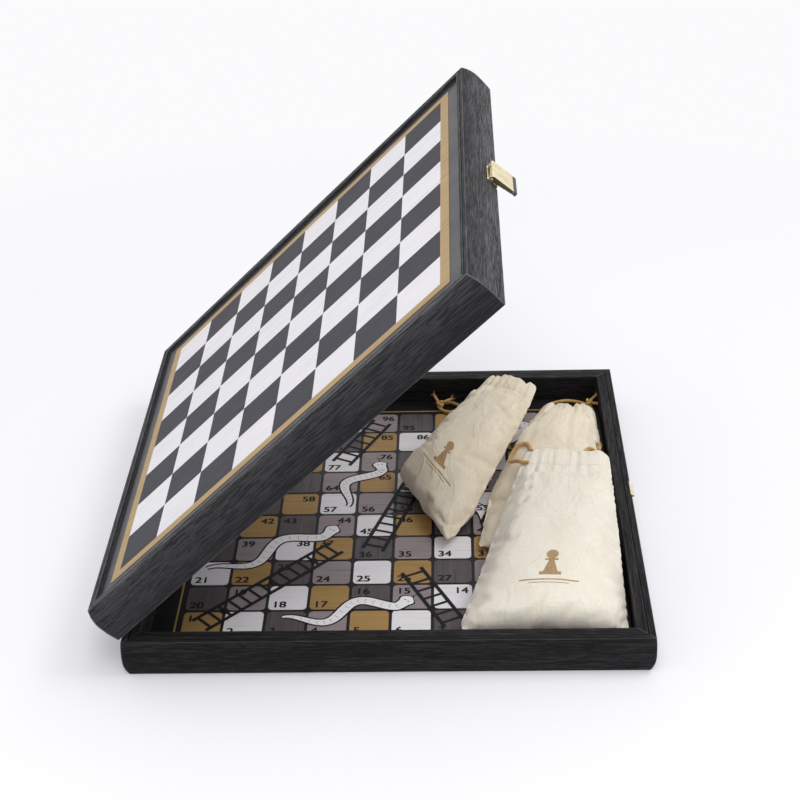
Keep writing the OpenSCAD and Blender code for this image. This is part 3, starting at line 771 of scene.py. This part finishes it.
def material_for(node, slot):
    """A new finish for a solid, by its material slot, its half of the box and the way that its grain runs."""
    in_lid = node.startswith(("lid_", "chess_", "cross_", "clasp_")) or node.endswith("_lid_leaf")
    name = node + "_finish"
    if slot == "black_wood":
        return black_wood(name, "Y" if "hinge_rail" in node or "clasp_rail" in node else "X", in_lid)
    if slot == "board":
        return black_board(name, in_lid)
    if slot == "gold_print":
        return printed(name, PALE_GOLD if in_lid else GOLD, "X", in_lid, streak=0.2)
    if slot == "white_print":
        return printed(name, WHITE, "X", in_lid, depth=0.07, streak=0.16)
    if slot == "dark_print" and in_lid:
        return printed(name, CHESS_CHARCOAL, "X", in_lid, depth=0.22, streak=0.30, roughness=0.55, shine=0.15)
    if slot == "dark_print":
        return printed(name, CHARCOAL, "Y", in_lid, depth=0.25, streak=0.4)
    if slot == "grey_print":
        return printed(name, TAUPE, "X", in_lid, depth=0.15, streak=0.2)
    if slot == "brass":
        return brass(name, in_lid)
    if slot == "black_plastic":
        return black_plastic(name)
    return None


def dress_solids():
    for part in frame["record"]["subparts"]:
        material = material_for(part["node"], part["material_slot"])
        if material:
            for place in nodes[part["node"]].material_slots:
                place.material = material


# Pouches


# The motif's middle stands this far above the bottom seam
MOTIF_UP = 0.033
THREAD = 0.62 * MM
STITCH_STEP = 2.4 * MM
# Half the width of the stitched line, as a share of the pouch's length
STITCH_LINE = 0.0035
# Shares of a pouch's length: where it is open, where it starts to thin, and where the hem is stitched
OPEN_BY = 0.06
THIN_FROM = 0.72
HEM_AT = 0.90
# Steps of a pouch's mesh
ACROSS = 44
ALONG = 72
FABRIC_T = 0.5 * MM
# From the side seams to the outside of the solid, and how much of its thickness is filled
SEAM_GAP = 0.2 * MM
FILLED = 0.96
# The bag is simulated at this scale, for so many frames, and its cloth may move this far
SIM_SCALE = 10
SIM_FRAMES = 22
SIM_REACH = 6 * MM
CLOTH = {
    "quality": 7, "mass": 0.2, "tension_stiffness": 18, "compression_stiffness": 18, "shear_stiffness": 8,
    "bending_stiffness": 0.35, "use_pressure": True, "uniform_pressure_force": 1.6,
    "shrink_min": -0.055, "shrink_max": -0.055, "vertex_group_mass": "held", "pin_stiffness": 1.5,
}


def pawn_print(s):
    """A small plain pawn above two rules, 1 where it is printed."""
    x, y = s.parts(s.place(uv="motif"))[:2]
    wide = x.size()
    head = (x * x + (y - 7.5 * MM) * (y - 7.5 * MM)) < (3.3 * MM) ** 2
    collar = ((y - 3.7 * MM).size() < 0.7 * MM) * (wide < 3.6 * MM)
    body = (wide < (y * -0.26 + 2.3 * MM)) * ((y + 1.2 * MM).size() < 5.0 * MM)
    foot = ((y + 6.8 * MM).size() < 1.2 * MM) * (wide < 5.6 * MM)
    rules = (((y + 11.4 * MM).size() < 0.45 * MM) * (wide < 15 * MM)) | (
        ((y + 13.4 * MM).size() < 0.25 * MM) * (wide < 10 * MM))
    return head | collar | body | foot | rules


def cotton(name, tones, rumpled):
    """Plain-weave cotton with slubs and flecks, a stitched hem and a small printed pawn."""
    s = Surface(name)
    dull, pale, thick = tones

    def patches(across, along, **settings):
        return s.grain(s.place((across, along, 1), uv="cloth"), **settings)

    cloth_x, cloth_y = s.parts(s.place(uv="cloth"))[:2]
    edge_x, edge_y = s.parts(s.place(uv="edges"))[:2]
    weave = (cloth_x.repeat(THREAD) * (2 / THREAD)) + (cloth_y.repeat(THREAD) * (2 / THREAD))
    warp = patches(1700, 150, detail=3)
    weft = patches(150, 1700, detail=3)
    slub = s.ramp(warp | weft, 0.50, 0.70)
    flecks = s.ramp(patches(380, 620, detail=2), 0.72, 0.78)
    cloud = patches(60, 60, detail=4)
    neps = patches(900, 760, detail=2, roughness=0.6)
    base = s.blend(s.ramp(cloud * 0.6 + neps * 0.4, 0.36, 0.64), dull, pale)
    woven = s.blend(slub * 0.6, base, thick)
    flecked = s.blend(flecks * 0.8, woven, FLECK)
    hem_line = (edge_y - HEM_AT).size() < STITCH_LINE
    dashes = cloth_x.repeat(STITCH_STEP) > 0.35 * MM
    stitched = s.blend(hem_line * dashes * 0.4, flecked, STITCH)
    marked = s.blend(pawn_print(s) * s.ramp(warp + weft, 0.85, 1.25, 0.96, 0.72), stitched, MOTIF)
    # Creases from lying folded, and gathers that fan out from the drawn hem
    lain = patches(34, 24, detail=3, roughness=0.55, distortion=0.7)
    crease = s.ramp((lain - 0.5).size(), 0.0, 0.045, 1.0, 0.0)
    fan = patches(190, 17, detail=3, roughness=0.6, distortion=0.4)
    fanned = fan * s.ramp(edge_y, 0.50, 0.92, 0.15, 2.4)
    crumpled = s.bump(crease * 0.35 + lain * 1.2 + fanned, 1.0 * MM, rumpled)
    height = (weave * 0.20 + (warp + weft) * 0.6 + neps * 0.8 + hem_line * -0.8
              + s.ramp(edge_x, 0.0, 1.2 * MM, 0.9, 0.0))
    return s.finish(marked, 0.86, s.bump(height, 0.16 * MM, 0.9, crumpled),
                    shine=0.2, **{"Sheen Weight": 0.2, "Sheen Roughness": 0.5})


def eased(share):
    """0 to 1, with a soft start and a soft end."""
    share = min(1.0, max(0.0, share))
    return share * share * (3 - 2 * share)


def rough(seed, *place):
    """Smooth noise from about -1 to 1 at up to two coordinates."""
    x, y = (*place, 0.0)[:2]
    return 1.6 * noise.noise(Vector((x, y, seed)))


def planes_of(node):
    """Outward normals and distances of the faces of a solid that has no hollows."""
    faces = nodes[node].data.polygons
    normals = np.array([f.normal for f in faces], float)
    centres = np.array([f.center for f in faces], float)
    return normals, (normals * centres).sum(1)


def way_out(planes, start, direction):
    """Distance from a point inside the solid to its surface."""
    normals, distances = planes
    speed = normals @ direction
    leaving = speed > 1e-9
    return ((distances - normals @ start)[leaving] / speed[leaving]).min()


def kept_inside(points, planes, margin):
    """Points moved back to the solid's surface where they stand out of it by more than margin."""
    normals, distances = planes
    for _ in range(3):
        beyond = points @ normals.T - distances - margin
        worst = beyond.argmax(1)
        excess = np.maximum(beyond[np.arange(len(points)), worst], 0)
        points = points - normals[worst] * excess[:, None]
    return points


class Pouch:
    """Where a pouch lies: the two ends of its bottom seam and of its mouth, and how it is gathered."""

    def __init__(self, node, body, bottom, mouth, pleats, gather, seed):
        self.node, self.body = node, body
        self.bottom, self.mouth = np.array(bottom), np.array(mouth)
        self.pleats, self.gather, self.seed = pleats, gather, seed

    def axis(self):
        """Direction from its bottom to its mouth."""
        return unit(sum(self.mouth) - sum(self.bottom))


POUCHES = [
    Pouch("left_pouch", "left_bag", [(0.0035, 0.027, 0.0115), (0.0285, -0.0325, 0.0115)],
          [(0.0585, 0.117, 0.0275), (0.0835, 0.1065, 0.0275)], 5.5, 1.6, 3),
    Pouch("front_pouch", "front_bag", [(0.040, -0.1165, 0.013), (0.120, -0.1175, 0.012)],
          [(0.078, 0.0225, 0.033), (0.121, 0.0185, 0.033)], 8.5, 0.7, 11),
    Pouch("back_pouch", "back_bag", [(0.0505, -0.038, 0.0085), (0.117, -0.042, 0.008)],
          [(0.093, 0.0985, 0.017), (0.119, 0.0955, 0.017)], 5.5, 1.6, 23),
]


def share_across(i):
    """Share of the width at step i. The steps crowd towards the side seams."""
    return 0.5 - 0.5 * math.cos(math.pi * i / ACROSS)


def two_sheets(pouch, planes):
    """Points of the upper and of the lower sheet, as far apart as the solid allows."""
    top, under = np.zeros((2, ALONG + 1, ACROSS + 1, 3))
    axis = pouch.axis()
    for j in range(ALONG + 1):
        v = j / ALONG
        left = pouch.bottom[0] + (pouch.mouth[0] - pouch.bottom[0]) * v
        right = pouch.bottom[1] + (pouch.mouth[1] - pouch.bottom[1]) * v
        across = unit(right - left)
        lift = unit(np.cross(across, axis))
        centre = (left + right) / 2
        reach = (way_out(planes, centre, -across), way_out(planes, centre, across))
        for i in range(ACROSS + 1):
            s = share_across(i)
            place = centre + across * (-reach[0] + SEAM_GAP + (sum(reach) - 2 * SEAM_GAP) * s)
            high, low = way_out(planes, place, lift), way_out(planes, place, -lift)
            edge = abs(2 * s - 1)
            full = math.sqrt(max(0.0, 1 - edge ** 5)) if 0 < i < ACROSS else 0.0
            opened = min(1.0, math.sqrt(v / OPEN_BY))
            thinner = 1 - 0.45 * eased((v - THIN_FROM) / (HEM_AT - THIN_FROM))
            middle = place + lift * (high - low) / 2
            half = (high + low) / 2 * full * opened * thinner * FILLED
            top[j, i] = middle + lift * half
            under[j, i] = middle - lift * half
    return top, under


def sheet_faces(upper, lower):
    """Faces of the two sheets, sewn together along both sides and the bottom."""
    faces = []
    for j in range(ALONG):
        for i in range(ACROSS):
            faces.append((upper[j][i], upper[j][i + 1], upper[j + 1][i + 1], upper[j + 1][i]))
            faces.append((lower[j][i], lower[j + 1][i], lower[j + 1][i + 1], lower[j][i + 1]))
    return faces


def bag_mesh(top, under):
    """Vertices and faces of a bag, each vertex's steps across and along and its sheet, and the numbers of the
    vertices in the upper and in the lower sheet."""
    vertices = []
    where = []
    upper = [[0] * (ACROSS + 1) for _ in range(ALONG + 1)]
    lower = [row[:] for row in upper]
    for j in range(ALONG + 1):
        for i in range(ACROSS + 1):
            upper[j][i] = len(vertices)
            vertices.append(top[j, i])
            where.append((i, j, 1))
            if i in (0, ACROSS) or j == 0:
                lower[j][i] = upper[j][i]
            else:
                lower[j][i] = len(vertices)
                vertices.append(under[j, i])
                where.append((i, j, -1))
    return np.array(vertices), sheet_faces(upper, lower), where, upper, lower


def puffed(vertices, faces, upper, lower, planes):
    """The bag after a short cloth simulation: air pressure fills it and its cloth has a little to spare."""
    # The mouth is shut against the air. Its outermost faces have three corners
    a, b = upper[ALONG], lower[ALONG]
    lips = [tuple(dict.fromkeys((a[i], a[i + 1], b[i + 1], b[i]))) for i in range(ACROSS)]
    mesh = bpy.data.meshes.new("bag_in_air")
    mesh.from_pydata([tuple(v * SIM_SCALE) for v in vertices], [], faces + lips)
    mesh.update()
    bag = bpy.data.objects.new("bag_in_air", mesh)
    scene.collection.objects.link(bag)
    held = bag.vertex_groups.new(name="held")
    for j in range(ALONG + 1):
        for i in range(ACROSS + 1):
            hem = max(0.0, (j / ALONG - 0.80) / 0.20)
            seam = 0.6 if i in (0, ACROSS) or j == 0 else 0.0
            for index in {upper[j][i], lower[j][i]}:
                held.add([index], max(seam, min(1.0, 1.6 * hem)), "REPLACE")
    cloth = bag.modifiers.new("cloth", "CLOTH")
    for name, value in CLOTH.items():
        setattr(cloth.settings, name, value)
    cloth.settings.effector_weights.gravity = 0
    cloth.collision_settings.use_collision = False
    cloth.point_cache.frame_start = 1
    cloth.point_cache.frame_end = SIM_FRAMES
    for step in range(1, SIM_FRAMES + 1):
        scene.frame_set(step)
    evaluated = bag.evaluated_get(bpy.context.evaluated_depsgraph_get())
    moved = np.array([v.co for v in evaluated.data.vertices], float) / SIM_SCALE
    bpy.data.objects.remove(bag)
    scene.frame_set(1)
    travel = moved - vertices
    far = np.linalg.norm(travel, axis=1)
    travel *= np.minimum(1, SIM_REACH / np.maximum(far, 1e-9))[:, None]
    return kept_inside(vertices + travel, planes, 0.3 * MM)


def fold(pouch, s, v, sheet):
    """How far the folds move the cloth out and along, in mm, at the shares s across and v along one sheet."""
    seed = pouch.seed + 5.5 * sheet
    # Pleats of unlike widths, depths and lengths run from the hem down the bag and only press inward
    phase = pouch.pleats * (s + 0.13 * rough(seed, 3.1 * s + 0.5 * v))
    valley = 1 - abs(math.sin(math.pi * phase)) ** 0.6
    finer = 0.30 * (0.5 + 0.5 * math.sin(2 * math.pi * (2.3 * phase + 0.2)))
    depth = 0.8 + 0.8 * rough(seed + 1, 6.0 * s)
    starts = 0.42 + 0.16 * rough(seed + 2, 8.0 * s)
    gathered = max(0.0, min(1.0, (v - starts) / (HEM_AT - starts))) ** 1.5
    flare = eased((v - HEM_AT) / (1 - HEM_AT))
    channel = math.exp(-((v - HEM_AT) / 0.011) ** 2)
    pleats = -pouch.gather * 2.6 * gathered * depth * (valley + finer * (1 - 0.5 * v)) * (1 - 0.25 * flare)
    dents = 1.0 * rough(seed + 3, 3.2 * s, 5.0 * v) + 0.40 * rough(seed + 4, 9.0 * s, 14.0 * v)
    crease = abs(rough(seed + 6, 2.1 * s + 1.3 * v, 4.4 * v - 1.1 * s))
    inner = min(1.0, 6 * min(s, 1 - s)) * min(1.0, v / 0.05)
    out = inner * (pleats + 0.75 * dents + 0.8 * min(crease, 0.25) / 0.25 - 0.8 * channel * pouch.gather)
    return out, flare * 1.5 * rough(seed + 5, 7.0 * s)


def make_pouch(pouch, material):
    planes = planes_of(pouch.node)
    vertices, faces, where, upper, lower = bag_mesh(*two_sheets(pouch, planes))
    vertices = puffed(vertices, faces, upper, lower, planes)
    piece = add_mesh(pouch.node + "_cloth", vertices, faces, material, pouch.body)
    normals = np.array([v.normal for v in piece.data.vertices], float)
    axis = pouch.axis()
    moves = np.zeros((len(vertices), 3))
    for index, (i, j, sheet) in enumerate(where):
        out, along = fold(pouch, share_across(i), j / ALONG, sheet)
        moves[index] = (normals[index] * out + axis * along) * MM
    vertices = kept_inside(vertices + moves, planes, 0.5 * MM)
    for vertex, place in zip(piece.data.vertices, vertices):
        vertex.co = place
    lay_cloth_coordinates(piece, where, pouch)
    piece.data.update()
    thick = piece.modifiers.new("fabric", "SOLIDIFY")
    thick.thickness = FABRIC_T
    thick.offset = -1
    smooth = piece.modifiers.new("smooth", "SUBSURF")
    smooth.levels = 1
    smooth.render_levels = 1
    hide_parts(pouch.node)


def lay_cloth_coordinates(piece, where, pouch):
    """UV maps: metres across and along the cloth, metres from the side seam with the share along, and metres
    from the middle of the motif, which is printed on the upper sheet alone."""
    mesh = piece.data
    cloth = mesh.uv_layers.new(name="cloth")
    edges = mesh.uv_layers.new(name="edges")
    motif = mesh.uv_layers.new(name="motif")
    width = 2 * np.linalg.norm(pouch.bottom[1] - pouch.bottom[0])
    length = np.linalg.norm((sum(pouch.mouth) - sum(pouch.bottom)) / 2)
    for polygon in mesh.polygons:
        sheet = -1 if any(where[i][2] < 0 for i in polygon.vertices) else 1
        for loop in polygon.loop_indices:
            i, j, _ = where[mesh.loops[loop].vertex_index]
            s = share_across(i)
            cloth.data[loop].uv = (width / 2 * s + (0.3 if sheet < 0 else 0), length * j / ALONG)
            edges.data[loop].uv = (width / 2 * min(s, 1 - s), j / ALONG)
            motif.data[loop].uv = (width / 2 * (s - 0.5) if sheet > 0 else 1, length * j / ALONG - MOTIF_UP)


def make_pouches():
    natural = cotton("natural_cotton", NATURAL, 0.8)
    # The front pouch's cotton is a lighter copy: painted light
    lit_cotton = cotton("lit_cotton_copy", LIT_COTTON_TONES, 0.6)
    for pouch in POUCHES:
        make_pouch(pouch, lit_cotton if pouch.node == "front_pouch" else natural)


# Floor and light
FLOOR = (0.80, 0.80, 0.835)
FLOOR_REACH = 6
# Distances from the box at which the floor starts to turn white and is white
NEAR, FAR = 0.24, 0.62
# Light of the surroundings, against the 1 at which the camera sees them
SURROUNDINGS = 0.63
WARM_WHITE = (1.0, 0.99, 0.975)
# Each lamp: name, place, what it faces, width, power
LAMPS = [
    ("left_softbox", (-1.0, -0.2, 1.05), (-0.03, 0, 0.08), 0.9, 1),
    ("top_softbox", (0.1, 0.0, 1.4), (0.05, 0, 0), 0.7, 1.7),
    ("right_softbox", (0.8, 0.0, 1.3), (0.05, 0, 0), 0.7, 5.3),
    ("front_softbox", (0.0, -0.8, 1.4), (0, 0, 0.03), 0.7, 5.3),
]


def seen_directly(tree):
    """1 for rays from the camera, also by way of a mirror or glass, and 0 for light."""
    rays = tree.nodes.new("ShaderNodeLightPath")
    return (Field(tree, rays.outputs["Is Camera Ray"]) | Field(tree, rays.outputs["Is Glossy Ray"])
            | Field(tree, rays.outputs["Is Transmission Ray"]))


def make_floor():
    """Pale floor that keeps the box's shadow and turns plain white further out."""
    s = Surface("pale_floor")
    away = s.node("VectorMath", {0: s.place((1, 1, 0))}, operation="LENGTH").outputs["Value"]
    far = s.ramp(Field(s.tree, away), NEAR, FAR)
    seen = seen_directly(s.tree)
    cloud = s.grain(s.place((3, 3, 3)), detail=2)
    paper = s.blend(cloud, FLOOR, [c * 0.99 for c in FLOOR])
    s.finish(s.blend(far * seen, paper, (0, 0, 0)), 0.9, shine=0.0,
             **{"Emission Strength": seen * (far * 0.82 + 0.16), "Emission Color": (0.985, 0.985, 1.0, 1)})
    corners = [(x * FLOOR_REACH, y * FLOOR_REACH, 0) for x, y in ((-1, -1), (1, -1), (1, 1), (-1, 1))]
    mesh = bpy.data.meshes.new("floor")
    mesh.from_pydata(corners, [], [(0, 1, 2, 3)])
    floor = bpy.data.objects.new("floor", mesh)
    floor.data.materials.append(s.material)
    floor.location.z = -0.1 * MM
    scene.collection.objects.link(floor)


def area_light(name, place, aim, size, power):
    data = bpy.data.lights.new(name, "AREA")
    data.shape = "DISK"
    data.size = size
    data.energy = power
    data.color = WARM_WHITE
    lamp = bpy.data.objects.new(name, data)
    lamp.location = place
    lamp.rotation_euler = (Vector(aim) - Vector(place)).to_track_quat("-Z", "Y").to_euler()
    scene.collection.objects.link(lamp)


def make_light():
    world = bpy.data.worlds.new("studio")
    scene.world = world
    world.use_nodes = True
    tree = world.node_tree
    background = tree.nodes["Background"]
    background.inputs["Color"].default_value = (0.975, 0.98, 1.0, 1)
    strength = seen_directly(tree) * (1 - SURROUNDINGS) + SURROUNDINGS
    connect(tree, background.inputs["Strength"], strength)
    for lamp in LAMPS:
        area_light(*lamp)


make_camera()
make_strings()
dress_solids()
make_ladders()
make_snakes()
make_numbers()
make_pouches()
make_floor()
make_light()

scene.view_settings.view_transform = "Standard"
